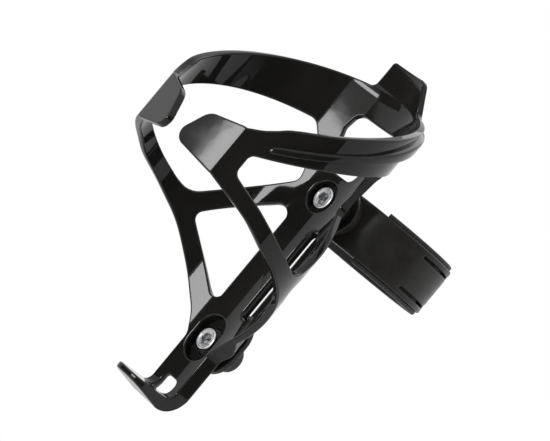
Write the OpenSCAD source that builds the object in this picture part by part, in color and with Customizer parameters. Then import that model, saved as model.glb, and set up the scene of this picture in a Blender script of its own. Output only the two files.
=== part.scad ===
// Bicycle bottle cage with a hinged tube clamp.
// The tube's axis is Z, the bottle lies on the +Y side, and the upper bolt is at z = 0.

/* [Bottle] */
// Diameter of the bottle that the cage holds
bottle_d = 73; // [70:0.5:78]
// Free gap between the bottle and the cage wall
bottle_gap = 0.25; // [0.1:0.05:0.6]

/* [Frame tube] */
// Diameter of the tube that the clamp closes on
tube_d = 40; // [34:0.5:44]

/* [Cage wall] */
// Thickness of the moulded wall
wall_t = 2.75; // [2:0.25:3.5]
// Width of the spine between the side windows
spine_w = 14; // [11:0.5:16]
// Thickness of the spine between the bolts
spine_t = 3; // [2.2:0.1:4]
// Width of the spine's root around the lower bolt
root_w = 16.2; // [15:0.2:19]
// Thickness of the cage where a bolt clamps it
seat_t = 5; // [4.6:0.1:6]

/* [Ring] */
// Height of the ring's back edge above the upper bolt
ring_rise = 42; // [38:0.5:46]
// Slope of the ring's top edge at the back, down to the front
ring_slope = 26.6; // [24:0.2:29]
// Upright height of the ring's band at the back
ring_h = 20; // [17:0.5:22]
// How far the stiffening bead stands out at the sides of the ring
bead_t = 1.5; // [1:0.1:2.2]
// Height of the catch tab above the ring
catch_h = 11; // [8:0.5:14]
// Lean of the catch tab over the bottle
catch_lean = 26; // [18:1:32]

/* [Front tabs] */
// Length of each flat tab from its crease to its tip
tab_l = 19.3; // [16:0.1:20]
// Turn of each flat tab from straight across
tab_turn = 15; // [12:1:20]

/* [Foot] */
// Reach of the foot from the bottle's back line
foot_reach = 19.5; // [17:0.5:25]
// Depth of the foot's underside below the lower bolt
foot_drop = 29.5; // [28:0.5:34]
// Thickness of the foot at its root
foot_t = 5; // [4:0.25:6]
// Thickness of the foot's edge
foot_tip_t = 2.2; // [1.2:0.1:2.5]
// Width of the hole through the bend
bend_hole_w = 7.5; // [5:0.5:10]
// Thickness of the web in the hollow behind the bend
web_t = 2.2; // [1.6:0.1:3]

/* [Bolts] */
// Distance between the two bolts
bolt_spacing = 64; // [60:0.5:70]
// Thread diameter
bolt_d = 5; // [4:1:6]
// Diameter of the low bolt head
head_d = 8.5; // [8.5:0.1:10]
// Height of the low bolt head
head_h = 2.6; // [2.2:0.1:3]
// Hexagon socket across its flats
socket_af = 4; // [3:0.5:5]
// Depth of the hexagon socket
socket_depth = 1.7; // [1:0.1:2]
// Diameter of the washer under each head
washer_d = 10.4; // [10:0.1:11.4]
// Thickness of the washer
washer_t = 0.5; // [0.4:0.1:0.8]
// Width of the pocket around each head
pocket_w = 12.4; // [11.8:0.1:13]
// Travel of the lower bolt in its slot, each way
slot_travel = 3; // [1:0.5:3.5]
// Nut across its flats
nut_af = 8; // [8:0.1:10]
// Height of the nut
nut_h = 3.6; // [3:0.1:4]

/* [Standoffs] */
// Diameter of the spacers behind the cage
spacer_d = 13; // [12:0.2:15]
// Height of the spacer between the cage and the clamp
spacer_h = 4.5; // [4:0.1:6]
// Width of the plate on the lower spacer
plate_w = 19; // [17:0.2:21]
// Length of the plate on the lower spacer
plate_l = 25.4; // [22:0.2:28]
// Thickness of the plate
plate_t = 2.4; // [2:0.1:3]
// Diameter of the rubber foot behind the plate
pad_d = 12; // [11.6:0.2:14]

/* [Clamp] */
// Thickness of the clamp's band
band_t = 3.1; // [2.4:0.1:4]
// Width of the band
band_w = 19; // [17:0.5:24]
// Thickness of the rubber liner
liner_t = 3; // [2:0.1:4]
// How far the liner's lips stand past the band
lip_w = 1.5; // [1:0.1:2.5]
// Height of the boss under the upper spacer
boss_h = 1.5; // [1:0.1:3]
// Diameter of the boss
boss_d = 18.6; // [16:0.2:18.8]
// Width of the snap tongue between its slits
tongue_w = 12.6; // [9:0.1:13]
// Width of each slit beside the tongue
slit_w = 0.9; // [0.7:0.1:1.4]
// Diameter of the hinge knuckles
knuckle_d = 6.4; // [5.6:0.1:7.4]
// Diameter of the hinge pin
pin_d = 3; // [2:0.1:3.4]
// Width of the gate's knuckle
gate_knuckle_w = 6; // [4:0.5:8]

/* [Clearances] */
// Room between pieces that move past each other
move_gap = 0.4; // [0.3:0.05:0.6]
// Radial room of a pin or bolt in its hole
pin_gap = 0.05; // [0.02:0.01:0.1]
// Room around a piece that is pressed into another
seat_gap = 0.05; // [0.02:0.01:0.1]

/* [Hidden] */
$fn = 96;
far = 200;

// Radii about the tube's axis and the stations along Y
tube_r = tube_d / 2;
jaw_in = tube_r + liner_t;
jaw_out = jaw_in + band_t;
boss_y = jaw_out + boss_h;
seat_y = boss_y + spacer_h;
back_y = seat_y + seat_t;

// Radii about the bottle's axis
wall_in = bottle_d / 2 + bottle_gap;
wall_out = wall_in + wall_t;
wall_mid = (wall_in + wall_out) / 2;

// Stations of a bolt along Y, from the back line of the bottle
head_front = -0.4;
head_back = head_front - head_h;
pocket_floor = head_back - washer_t;
nut_front = -seat_t - spacer_h - boss_h / 2;
plate_back = nut_front + 0.15;
bolt_end = nut_front - nut_h;
slot_len = bolt_d + 2 * slot_travel + 2 * move_gap;
pocket_len = pocket_w + 2 * slot_travel;

// The foot's bend, seen from the side
foot_bend_r = 9;
foot_bend_y = foot_bend_r - seat_t;
foot_bend_z = foot_bend_r - foot_drop;

// The ring's edges fall to the front and bow downwards, as heights above the lower bolt
ring_fall = tan(ring_slope);
ring_bow = 0.0015;
under_fall = 0.6 * ring_fall;
under_bow = 0.0026;
ring_top = bolt_spacing + ring_rise;
ring_foot = ring_top - ring_h;
crease_angle = 143;
crease_low = 43.9;
crease_high = bolt_spacing - 1.5;

// Edges of the side arm and strut: angle from the spine, height above the lower bolt
arm_lower = [[11, -2.2], [20, 3.9], [36, 13.6], [46, 18.9], [56, 23.8], [63, 26.5], [70, 28.6],
    [83, 32.1], [100, 35.6], [113, 38.9], [134, 42.4], [144, crease_low]];
arm_upper = [[20, bolt_spacing - 0.3], [58, 38.8], [62, 37], [66, 36.4], [73, 36.9], [84, 38.9], [101, 42.5],
    [113, 45.2], [128, 48], [131, 49.5]];

// Where the cuts seen from the front give way to the cuts seen from the side
view_split = 45;
view_lap = 3;

// Place of the clamp's hinge and the ends of its two jaws, as angles from +Y towards -X
hinge_angle = -43;
hinge_r = jaw_out + knuckle_d / 2 - 0.6;
jaw_start = hinge_angle + 1;
gate_start = hinge_angle - 1;
tongue_end = 133;
finger_end = 138;
slit_start = 80;
joint_gap = 0.8;
lip_start = 36;

// Share of the band's thickness that the liner's lips cover
lip_share = 0.7;

cage_black = [0.035, 0.035, 0.038];
clamp_black = [0.07, 0.068, 0.066];
rubber_black = [0.025, 0.025, 0.025];
bolt_silver = [0.78, 0.79, 0.8];

function wall_x(angle) = wall_mid * sin(angle);
function wall_y(angle) = wall_in - wall_mid * cos(angle);
function ring_high(y) = ring_top + 0.8 - ring_fall * y - ring_bow * y * y;
function ring_low(angle) =
    let (y = wall_y(angle))
    ring_foot - under_fall * y - under_bow * y * y;

// The arc that rounds the corner at b between a and c
function corner(a, b, c, r, steps = 5) =
    let (u = (a - b) / norm(a - b), v = (c - b) / norm(c - b))
    let (half = acos(u * v) / 2, middle = b + (u + v) / norm(u + v) * r / sin(half))
    let (from = b + u * r / tan(half) - middle, to = b + v * r / tan(half) - middle)
    let (start = atan2(from.y, from.x), turn = (atan2(to.y, to.x) - start + 540) % 360 - 180)
    [for (i = [0:steps]) middle + r * [cos(start + turn * i / steps), sin(start + turn * i / steps)]];

function rounded(points, r) =
    let (n = len(points))
    [for (i = [0:n - 1]) each corner(points[(i + n - 1) % n], points[i], points[(i + 1) % n], r)];

// A point at an angle about the tube's axis, from +Y towards -X
function around(angle, r) = [-r * sin(angle), r * cos(angle)];

// Places a piece drawn from the lower bolt and the bottle's back line
module at_cage() {
    translate([0, back_y, -bolt_spacing]) children();
}

// Places a bolt's stack on the upper or the lower bolt
module at_bolt(upper) {
    at_cage() translate([0, 0, upper ? bolt_spacing : 0]) children();
}

// A cylinder along Y between two stations
module post(d, from, to) {
    translate([0, from, 0]) rotate([-90, 0, 0]) cylinder(d = d, h = to - from);
}

// A hexagonal prism along Y between two stations
module hex_post(af, from, to) {
    translate([0, from, 0]) rotate([-90, 0, 0]) cylinder(d = af / cos(30), h = to - from, $fn = 6);
}

// A slot along Z, cut along Y between two stations
module slot(w, l, from, to) {
    for (side = [-1, 1]) translate([0, 0, side * (l - w) / 2]) post(w, from, to);
    translate([-w / 2, from, -(l - w) / 2]) cube([w, to - from, l - w]);
}

// Cuts an outline drawn in x and z through the back half of the wall, on both sides
module cut_from_front(points) {
    for (side = [0, 1]) mirror([side, 0, 0]) translate([0, wall_in - 2, 0]) rotate([90, 0, 0])
        linear_extrude(wall_in + 20) polygon(points);
}

// Cuts an outline drawn in y and z through both side walls
module cut_from_side(points) {
    translate([-far / 2, 0, 0]) rotate([90, 0, 90]) linear_extrude(far) polygon(points);
}

// A sector of a ring about the tube's axis
module band_arc(r_in, r_out, from, to, w) {
    translate([0, 0, -w / 2]) rotate([0, 0, 90 + from]) rotate_extrude(angle = to - from)
        translate([r_in, 0]) square([r_out - r_in, w]);
}

// The wall around the bottle, before it is cut into a ring, arms and struts
module wall_blank() {
    start = -3;
    translate([0, wall_in, start]) difference() {
        cylinder(r = wall_out, h = ring_top - start);
        translate([0, 0, -1]) cylinder(r = wall_in, h = ring_top - start + 2);
    }
}

// Everything below the arms
module cut_below_arms() {
    cut_from_front(concat(
        [for (a = [11:3.4:view_split + view_lap]) [wall_x(a), lookup(a, arm_lower)]],
        [[far, lookup(view_split + view_lap, arm_lower)], [far, -far], [wall_x(11), -far]]));
    cut_from_side(concat(
        [for (a = [view_split - view_lap:6:crease_angle]) [wall_y(a), lookup(a, arm_lower)]],
        [[far, crease_low], [far, -far], [wall_y(view_split - view_lap), -far]]));
}

// Everything above the ring, with the step down to the front tabs
module cut_above_ring() {
    peak_y = wall_y(128.5);
    level_y = 1.6;
    cut_from_side(concat([[-far, ring_top], [level_y, ring_top]],
        [for (y = [6:9:peak_y]) [y, ring_high(y)]],
        [[peak_y, ring_high(peak_y)], [wall_y(133), bolt_spacing + 5.3], [wall_y(135.5), bolt_spacing + 3.6],
            [wall_y(137.5), bolt_spacing + 2.1], [wall_y(140), bolt_spacing + 0.3],
            [wall_y(crease_angle), crease_high], [far, crease_high], [far, far], [-far, far]]));
}

// The small window beside the spine
module cut_small_window() {
    cut_from_front(rounded([[spine_w / 2, 10], [wall_x(54), 31], [wall_x(40), 40.8],
        [spine_w / 2, bolt_spacing - 6]], 3));
}

// The large window between the ring and the arm
module cut_large_window() {
    back_end = view_split + view_lap;
    front_end = view_split - view_lap;
    cut_from_front(concat(
        [[wall_x(20), lookup(20, arm_upper)], [wall_x(26), bolt_spacing + 13],
            [wall_x(29.5), bolt_spacing + 18], [wall_x(34), ring_low(34) - 0.8]],
        [for (a = [36:3:back_end]) [wall_x(a), ring_low(a)]],
        [for (a = [back_end:-7:20]) [wall_x(a), lookup(a, arm_upper)]]));
    cut_from_side(concat(
        [for (a = [front_end:6:126]) [wall_y(a), ring_low(a)]],
        [[wall_y(130.5), ring_low(126) - 2], [wall_y(132.5), ring_low(126) - 5.5]],
        [for (a = [131:-4:front_end]) [wall_y(a), lookup(a, arm_upper)]]));
}

// The window between the two posts
module cut_back_window() {
    low = bolt_spacing + 9.5;
    high = ring_top - 10.5;
    cut_from_front(rounded([[-6.6, low], [6.6, low], [12, high - 7], [11, high], [-11, high],
        [-12, high - 7]], 3));
}

// The stiffening bead round the outside of the ring, which stands out further at the back
module ring_bead() {
    start_y = wall_y(28);
    end_y = wall_y(126);
    mid_y = wall_in - 4;
    back_shift = 1;
    intersection() {
        difference() {
            translate([0, wall_in - back_shift, 0]) cylinder(r = wall_out + bead_t, h = ring_top);
            translate([0, wall_in, -1]) cylinder(r = wall_mid, h = ring_top + 2);
        }
        cut_from_side([[start_y, ring_high(start_y) - 9.4], [start_y, ring_high(start_y) - 1.4],
            [mid_y, ring_high(mid_y) - 6.2], [end_y, ring_high(end_y) - 7.2],
            [end_y + 1, ring_high(end_y) - 9], [end_y, ring_high(end_y) - 10.4],
            [mid_y, ring_high(mid_y) - 9.9]]);
    }
}

// The catch tab that leans over the bottle's shoulder at the back
module catch_tab() {
    root = 3;
    root_half = 13.5;
    top_half = 10.4;
    lean = catch_h * tan(catch_lean);
    low = ring_top - root;
    high = ring_top + catch_h;
    intersection() {
        translate([0, wall_in, 0]) rotate_extrude() polygon([[wall_in, low], [wall_out, low],
            [wall_out, ring_top], [wall_out - lean, high], [wall_in - lean, high], [wall_in, ring_top]]);
        translate([0, wall_in / 2, 0]) rotate([90, 0, 0]) linear_extrude(far) polygon(concat(
            [[-root_half, low], [root_half, low], [root_half, ring_top]],
            corner([root_half, ring_top], [top_half, high], [-top_half, high], 2.2),
            corner([top_half, high], [-top_half, high], [-root_half, ring_top], 2.2),
            [[-root_half, ring_top]]));
    }
}

// One flat tab at the front, from the crease to its tip
module front_tab() {
    lap = 1.6;
    low = [-lap, crease_low];
    high = [-lap, crease_high];
    tip_low = [tab_l + 1.7, crease_low + 2.4];
    tip_high = [tab_l - 5, crease_high - 2.7];
    translate([wall_in * sin(crease_angle), wall_in - wall_in * cos(crease_angle), 0])
        rotate([90, 0, 180 - tab_turn]) linear_extrude(wall_t) polygon(concat([low],
            corner(low, tip_low, tip_high, 2.6), corner(tip_low, tip_high, high, 3.5), [high]));
}

// The spine, its wider root and the flat seats for the two bolts
module spine() {
    proud = 1.2;
    difference() {
        union() {
            translate([-spine_w / 2, -spine_t, 0]) cube([spine_w, spine_t + proud, bolt_spacing]);
            translate([-root_w / 2, -seat_t, foot_bend_z]) cube([root_w, seat_t + proud, 9 - foot_bend_z]);
            translate([0, 0, bolt_spacing]) post(pocket_w + 5, -seat_t, proud);
        }
        translate([0, wall_in, -far / 2]) cylinder(r = wall_in, h = far);
    }
}

// The straight rib behind one small window, with a block at each end that joins it to the wall
module back_rib() {
    inner = spine_w / 2 + 0.85;
    start = 5;
    end = bolt_spacing - 2;
    block_h = 4.5;
    translate([0, 0, start]) linear_extrude(end - start) polygon([[inner, -2.9], [inner + 1.35, -1.6],
        [inner + 2.6, -3], [inner + 2.2, -4.8]]);
    for (low = [start, end - block_h]) translate([inner + 0.2, -3.2, low]) cube([2, 3, block_h]);
}

// The foot that the bottle stands on, bent forward from the root
module foot() {
    low = -foot_drop;
    corner_r = 5.5;
    intersection() {
        translate([-root_w / 2, 0, 0]) rotate([90, 0, 90]) linear_extrude(root_w) {
            intersection() {
                translate([foot_bend_y, foot_bend_z]) difference() {
                    circle(foot_bend_r);
                    circle(foot_bend_r - foot_t);
                }
                translate([foot_bend_y - far, low]) square([far, foot_bend_r]);
            }
            polygon([[foot_bend_y - 0.1, low], [foot_bend_y - 0.1, low + foot_t],
                [foot_reach, low + foot_t], [foot_reach, low + foot_t - foot_tip_t]]);
        }
        translate([0, 0, low - 1]) linear_extrude(foot_bend_r + 2) union() {
            translate([-root_w / 2, -seat_t]) square([root_w, foot_reach + seat_t - corner_r]);
            translate([-root_w / 2 + corner_r, 0]) square([root_w - 2 * corner_r, foot_reach]);
            for (side = [-1, 1]) translate([side * (root_w / 2 - corner_r), foot_reach - corner_r])
                circle(corner_r);
        }
    }
}

// The hollow behind the root and the bend, down to a web between two flanges
module bend_hollow() {
    flange = 2.2;
    top = -11;
    w = root_w - 2 * flange;
    translate([-w / 2, 0, 0]) rotate([90, 0, 90]) linear_extrude(w) difference() {
        translate([foot_bend_y - far, -foot_drop - 1]) square([far, top + foot_drop + 1]);
        translate([foot_bend_y, foot_bend_z]) circle(foot_bend_r - foot_t + web_t);
        translate([-web_t, foot_bend_z]) square(far);
    }
}

module cage_body() {
    color(cage_black) at_cage() difference() {
        union() {
            difference() {
                wall_blank();
                cut_below_arms();
                cut_above_ring();
                cut_small_window();
                cut_large_window();
                cut_back_window();
                translate([-far / 2, wall_y(crease_angle), 0]) cube(far);
            }
            difference() {
                ring_bead();
                cut_above_ring();
            }
            spine();
            foot();
            catch_tab();
            for (side = [0, 1]) mirror([side, 0, 0]) {
                front_tab();
                back_rib();
            }
        }
        bend_hollow();
        translate([-bend_hole_w / 2, -far, -foot_drop + foot_t]) cube([bend_hole_w, far + 3, 6.2]);
        slot(pocket_w, pocket_len, pocket_floor, 3);
        slot(bolt_d + 2 * move_gap, slot_len, -far, 0);
        translate([0, 0, bolt_spacing]) {
            post(pocket_w, pocket_floor, 3);
            post(bolt_d + 2 * pin_gap, -far, 0);
        }
    }
}

module bolt() {
    color(bolt_silver) difference() {
        union() {
            post(head_d, head_back, head_front);
            post(bolt_d, bolt_end, head_back + 0.1);
        }
        hex_post(socket_af, head_front - socket_depth, head_front + 1);
    }
}

module washer() {
    color(rubber_black) difference() {
        post(washer_d, pocket_floor, head_back);
        post(bolt_d + 2 * pin_gap, pocket_floor - 1, head_back + 1);
    }
}

module nut() {
    color(bolt_silver) difference() {
        hex_post(nut_af, bolt_end, nut_front);
        post(bolt_d + 2 * pin_gap, bolt_end - 1, nut_front + 1);
    }
}

// The round spacer between the cage and the clamp's boss
module upper_spacer() {
    color(clamp_black) at_bolt(true) difference() {
        post(spacer_d, -seat_t - spacer_h, -seat_t);
        post(bolt_d + 2 * pin_gap, -far, 0);
    }
}

// The round spacer on the long plate that carries the rubber foot
module lower_spacer() {
    color(clamp_black) at_bolt(false) difference() {
        union() {
            post(spacer_d, plate_back + plate_t / 2, -seat_t);
            translate([0, 0, (plate_l - plate_w) / 2])
                slot(plate_w, plate_l, plate_back, plate_back + plate_t);
        }
        post(bolt_d + 2 * pin_gap, -far, 0);
    }
}

module upper_bolt() { at_bolt(true) bolt(); }
module lower_bolt() { at_bolt(false) bolt(); }
module upper_washer() { at_bolt(true) washer(); }
module lower_washer() { at_bolt(false) washer(); }
module upper_nut() { at_bolt(true) nut(); }
module lower_nut() { at_bolt(false) nut(); }

// The rubber foot that rests on the tube and holds the lower nut
module tube_pad() {
    front = back_y + plate_back;
    dome = 2;
    color(rubber_black) translate([0, 0, -bolt_spacing]) difference() {
        rotate([-90, 0, 0]) rotate_extrude() polygon([[0, tube_r], [pad_d / 2 - dome, tube_r],
            [pad_d / 2 - dome * 0.3, tube_r + dome * 0.3], [pad_d / 2, tube_r + dome], [pad_d / 2, front],
            [0, front]]);
        post(bolt_d + 2 * pin_gap, back_y + bolt_end - 0.5, far);
        hex_post(nut_af + 2 * seat_gap, back_y + bolt_end - seat_gap, far);
    }
}

// A cylinder on the clamp's hinge axis
module at_hinge(d, w) {
    translate(around(hinge_angle, hinge_r)) translate([0, 0, -w / 2]) cylinder(d = d, h = w);
}

// The fixed half of the clamp: its boss, its snap tongue and the outer knuckles
module clamp_jaw() {
    color(clamp_black) difference() {
        union() {
            band_arc(jaw_in, jaw_out, jaw_start, finger_end, band_w);
            post(boss_d, jaw_in + band_t / 2, boss_y);
            at_hinge(knuckle_d, band_w - 2 * move_gap);
        }
        for (side = [-1, 1]) translate([0, 0, side * (tongue_w + slit_w) / 2])
            band_arc(jaw_in - 1, jaw_out + 1, slit_start, finger_end + 2, slit_w);
        band_arc(jaw_in - 1, jaw_out + 1, tongue_end, finger_end + 2, tongue_w + slit_w);
        at_hinge(knuckle_d + 2 * move_gap, gate_knuckle_w + 2 * move_gap);
        at_hinge(pin_d + 2 * seat_gap, far);
        post(bolt_d + 2 * pin_gap, 0, far);
        translate([0, back_y, 0]) hex_post(nut_af + 2 * seat_gap, bolt_end - 3, nut_front);
    }
}

// The swinging half of the clamp, with the lug that meets the tongue
module clamp_gate() {
    lug_start = tongue_end + joint_gap;
    shoulder_w = (band_w - tongue_w) / 2 + move_gap;
    color(clamp_black) difference() {
        union() {
            band_arc(jaw_in, jaw_out, lug_start - 360, gate_start, band_w);
            at_hinge(knuckle_d, gate_knuckle_w);
        }
        for (side = [-1, 1]) {
            translate([0, 0, side * (band_w - shoulder_w + 1) / 2])
                band_arc(jaw_in - 1, jaw_out + 1, lug_start - 2, finger_end + joint_gap, shoulder_w + 1);
            translate([0, 0, side * (gate_knuckle_w + band_w) / 2])
                at_hinge(knuckle_d + 2 * move_gap, band_w);
        }
        at_hinge(pin_d + 2 * pin_gap, far);
    }
}

module gate_pin() {
    color(bolt_silver) at_hinge(pin_d, band_w - move_gap);
}

// A rubber liner with a lip along each edge of the band
module liner(from, to) {
    lip_r = jaw_in + lip_share * band_t;
    back_r = jaw_in - seat_gap;
    edge = band_w / 2 + seat_gap;
    end = band_w / 2 + lip_w;
    color(rubber_black) rotate([0, 0, 90 + from]) rotate_extrude(angle = to - from)
        polygon([[tube_r, -end], [lip_r, -end], [lip_r, -edge], [back_r, -edge], [back_r, edge],
            [lip_r, edge], [lip_r, end], [tube_r, end]]);
}

// The liner of the fixed half, whose lips start clear of the boss
module jaw_liner() {
    start = jaw_start + 2;
    color(rubber_black) difference() {
        liner(start, tongue_end - 1);
        for (side = [-1, 1]) translate([0, 0, side * (band_w / 2 + lip_w)])
            band_arc(tube_r - 1, jaw_out + 1, start - 2, lip_start, 2 * lip_w);
        translate([0, back_y, 0]) hex_post(nut_af + 2, bolt_end - 0.5, nut_front);
    }
}

module gate_liner() { liner(finger_end + 2 - 360, gate_start - 6); }

cage_body();
upper_bolt();
lower_bolt();
upper_washer();
lower_washer();
upper_spacer();
lower_spacer();
upper_nut();
lower_nut();
tube_pad();
clamp_jaw();
clamp_gate();
gate_pin();
jaw_liner();
gate_liner();
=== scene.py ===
"""A moulded bottle cage with a hinged tube clamp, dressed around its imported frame.

Sizes are in millimetres. Cage points are written from the lower bolt and the bottle's back line:
x across, y towards the bottle, z up. Clamp points are written from the tube's axis.
"""

import math

import bmesh
import bpy
import numpy as np
from mathutils import Matrix, Vector
from mathutils.geometry import delaunay_2d_cdt


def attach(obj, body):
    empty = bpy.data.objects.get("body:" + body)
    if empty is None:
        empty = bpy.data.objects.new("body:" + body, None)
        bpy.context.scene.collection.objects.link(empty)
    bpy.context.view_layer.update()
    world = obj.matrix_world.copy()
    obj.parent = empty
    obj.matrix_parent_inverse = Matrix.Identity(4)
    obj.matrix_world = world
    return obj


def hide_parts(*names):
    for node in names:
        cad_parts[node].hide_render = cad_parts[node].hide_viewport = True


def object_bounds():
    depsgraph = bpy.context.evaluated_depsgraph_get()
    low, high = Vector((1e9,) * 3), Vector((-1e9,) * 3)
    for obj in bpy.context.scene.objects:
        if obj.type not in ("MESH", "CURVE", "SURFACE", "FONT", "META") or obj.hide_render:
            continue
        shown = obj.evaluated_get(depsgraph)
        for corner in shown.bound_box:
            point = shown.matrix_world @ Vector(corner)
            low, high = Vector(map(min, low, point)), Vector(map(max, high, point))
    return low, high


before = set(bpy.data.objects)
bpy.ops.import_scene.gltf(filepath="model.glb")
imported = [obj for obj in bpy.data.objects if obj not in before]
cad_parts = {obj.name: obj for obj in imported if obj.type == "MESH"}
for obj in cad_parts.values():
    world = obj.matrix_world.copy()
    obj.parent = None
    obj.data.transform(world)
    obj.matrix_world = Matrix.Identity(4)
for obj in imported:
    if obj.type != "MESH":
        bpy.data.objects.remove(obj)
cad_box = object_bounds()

MM = 0.001

# The part's own sizes
BOLT_SPACING = 64.0
BACK_Y = 37.1
WALL_IN = 36.75
WALL_T = 2.75
WALL_MID = WALL_IN + WALL_T / 2
SPINE_HALF = 7.0
SPINE_T = 3.0
ROOT_HALF = 8.1
SEAT_T = 5.0
RING_TOP = 106.0
RING_RISE = 0.8
RING_FOOT = 86.0
RING_FALL = math.tan(math.radians(26.6))
RING_BOW = 0.0015
UNDER_FALL = 0.6 * RING_FALL
UNDER_BOW = 0.0026
CREASE = 143.0
CREASE_R = 1.2
TAB_TURN = 15.0
TAB_L = 19.3
CREASE_LOW = 43.9
CREASE_HIGH = 62.5
CATCH_TOP = 117.0
CATCH_LEAN = math.tan(math.radians(26.0))
BEAD_T = 1.5
BEAD_SHIFT = 1.0
FOOT_BEND_Z = -20.5
FOOT_FRONT_R = 4.0
FOOT_T = 5.0
FOOT_TIP_T = 2.2
FOOT_REACH = 19.5
WEB_T = 2.2
WEB_TOP = -11.0
FLANGE_IN = 5.9
HOLLOW_EDGE = 0.3
HOLLOW_END = 0.6
POCKET_R = 6.2
POCKET_TRAVEL = 3.0
POCKET_FLOOR = -3.5
HEAD_FRONT = -0.4
HEAD_BACK = -3.0
HEAD_R = 4.25
SOCKET_AF = 4.0
SOCKET_DEPTH = 1.7
HEAD_DISH = 0.16
BOLT_R = 2.5
HOLE_R = BOLT_R + 0.05
AXIS_R = 0.02
BOLT_END = -13.85
WASHER_R = 5.2
SPACER_R = 6.5
SPACER_H = 4.5
PLATE_R = 9.5
PLATE_REACH = 6.4
PLATE_T = 2.4
PLATE_BACK = -10.1
BOSS_R = 9.3
PAD_R = 6.0
TUBE_R = 20.0
JAW_IN = 23.0
JAW_OUT = 26.1
BOSS_Y = 27.6
BAND_HALF = 9.5
TONGUE_HALF = 6.3
SLIT_W = 0.9
SLIT_START = 80.0
TONGUE_END = 133.0
FINGER_END = 138.0
JOINT_GAP = 0.8
HINGE_ANGLE = -43.0
HINGE_R = 28.7
KNUCKLE_R = 3.2
PIN_HOLE_R = 1.55
GATE_KNUCKLE_HALF = 3.0
MOVE_GAP = 0.4
LIP_END = 11.0
LIP_R = 25.17
LIP_START = 36.0

# Roundings along the rims of the plates
CAGE_RIM = 0.7
BAND_RIM = 0.8
PLATE_RIM = 0.6
SEAT_RIM = 0.2

# How finely the meshes are cut, and which edges are sharp, faces folded and normals close to their face
RIM_STEPS = 4
CURVE_STEP = 0.9
SAME_POINT = 0.05
MERGE = 1e-7
SHARP = math.radians(36)
FOLD = math.cos(math.radians(1.0))
CLOSE = math.cos(math.radians(35))
FACING = "facing"


def smooth(low, high, value):
    """Rises from 0 at low to 1 at high."""
    t = min(1.0, max(0.0, (value - low) / (high - low)))
    return t * t * (3 - 2 * t)


def even_depth(value):
    """A depth that is the same all over a sheet."""
    return lambda u, v: value


FLUSH = even_depth(0.0)


# Outlines


def spline(points, step=CURVE_STEP):
    """A smooth curve through the points, with a point about every step."""
    points = [np.array(p, float) for p in points]
    if len(points) == 2:
        count = max(1, round(float(np.linalg.norm(points[1] - points[0])) / (2 * step)))
        return [points[0] + (points[1] - points[0]) * i / count for i in range(count + 1)]
    knots = [0.0]
    for a, b in zip(points, points[1:]):
        knots.append(knots[-1] + float(np.linalg.norm(b - a)))
    last = len(points) - 1
    slopes = []
    for i in range(len(points)):
        before, after = max(0, i - 1), min(last, i + 1)
        slopes.append((points[after] - points[before]) / (knots[after] - knots[before]))
    curve = [points[0]]
    for i in range(last):
        length = knots[i + 1] - knots[i]
        count = max(1, round(length / step))
        for j in range(1, count + 1):
            t = j / count
            curve.append(
                points[i] * (2 * t**3 - 3 * t**2 + 1)
                + points[i + 1] * (3 * t**2 - 2 * t**3)
                + slopes[i] * length * (t**3 - 2 * t**2 + t)
                + slopes[i + 1] * length * (t**3 - t**2)
            )
    return curve


def walk(curve, distance):
    """The point at a distance along a curve, its direction, and the index of the next point."""
    for i, (a, b) in enumerate(zip(curve, curve[1:])):
        length = float(np.linalg.norm(b - a))
        if distance <= length:
            return a + (b - a) * distance / length, (b - a) / length, i + 1
        distance -= length
    return curve[-1], (curve[-1] - curve[-2]) / np.linalg.norm(curve[-1] - curve[-2]), len(curve)


def outline(stretches):
    """A closed loop from (points, radius of the corner at the end) stretches that follow each other."""
    curves = [spline(points) for points, _ in stretches]
    count = len(stretches)
    corners = []
    for i, (_, radius) in enumerate(stretches):
        here, after = curves[i], curves[(i + 1) % count]
        if radius == 0:
            corners.append(None)
            continue
        end_dir = (here[-1] - here[-2]) / np.linalg.norm(here[-1] - here[-2])
        start_dir = (after[1] - after[0]) / np.linalg.norm(after[1] - after[0])
        turn = math.acos(float(np.clip(end_dir @ start_dir, -1, 1)))
        trim = radius * math.tan(turn / 2)
        into, into_back, cut = walk(here[::-1], trim)
        out, out_dir, begin = walk(after, trim)
        turn = math.acos(float(np.clip(-into_back @ out_dir, -1, 1)))
        reach = 4 / 3 * math.tan(turn / 4) * radius
        bends = [into, into - into_back * reach, out - out_dir * reach, out]
        corners.append((bends, cut, begin, max(4, round(math.degrees(turn) / 11))))
    loop = []
    for i in range(count):
        start = corners[i - 1][2] if corners[i - 1] else 0
        stop = len(curves[i]) - corners[i][1] if corners[i] else len(curves[i]) - 1
        loop.extend(curves[i][start:stop])
        if corners[i]:
            bends, _, _, steps = corners[i]
            for j in range(steps + 1):
                t = j / steps
                weights = [(1 - t) ** 3, 3 * t * (1 - t) ** 2, 3 * t**2 * (1 - t), t**3]
                loop.append(sum(w * b for w, b in zip(weights, bends)))
    tidy = []
    for p in loop:
        if not tidy or np.linalg.norm(p - tidy[-1]) > SAME_POINT:
            tidy.append(p)
    if np.linalg.norm(tidy[0] - tidy[-1]) < SAME_POINT:
        tidy.pop()
    return tidy


def rounded(points, radius):
    """A closed polygon with rounded corners."""
    count = len(points)
    return outline([([points[i], points[(i + 1) % count]], radius) for i in range(count)])


def flipped(loop):
    """The loop's mirror image in its first coordinate."""
    return [np.array((-p[0], p[1])) for p in loop[::-1]]


def circle(x, y, radius, steps=40):
    turns = [2 * math.pi * i / steps for i in range(steps)]
    return [np.array((x + radius * math.cos(t), y + radius * math.sin(t))) for t in turns]


def obround(x, y, radius, travel, steps=20):
    """A slot outline along the second coordinate."""
    loop = []
    for side in (0, 1):
        for i in range(steps + 1):
            t = math.pi * (side + i / steps)
            shift = travel if side == 0 else -travel
            loop.append(np.array((x + radius * math.cos(t), y + shift + radius * math.sin(t))))
    return loop


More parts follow.
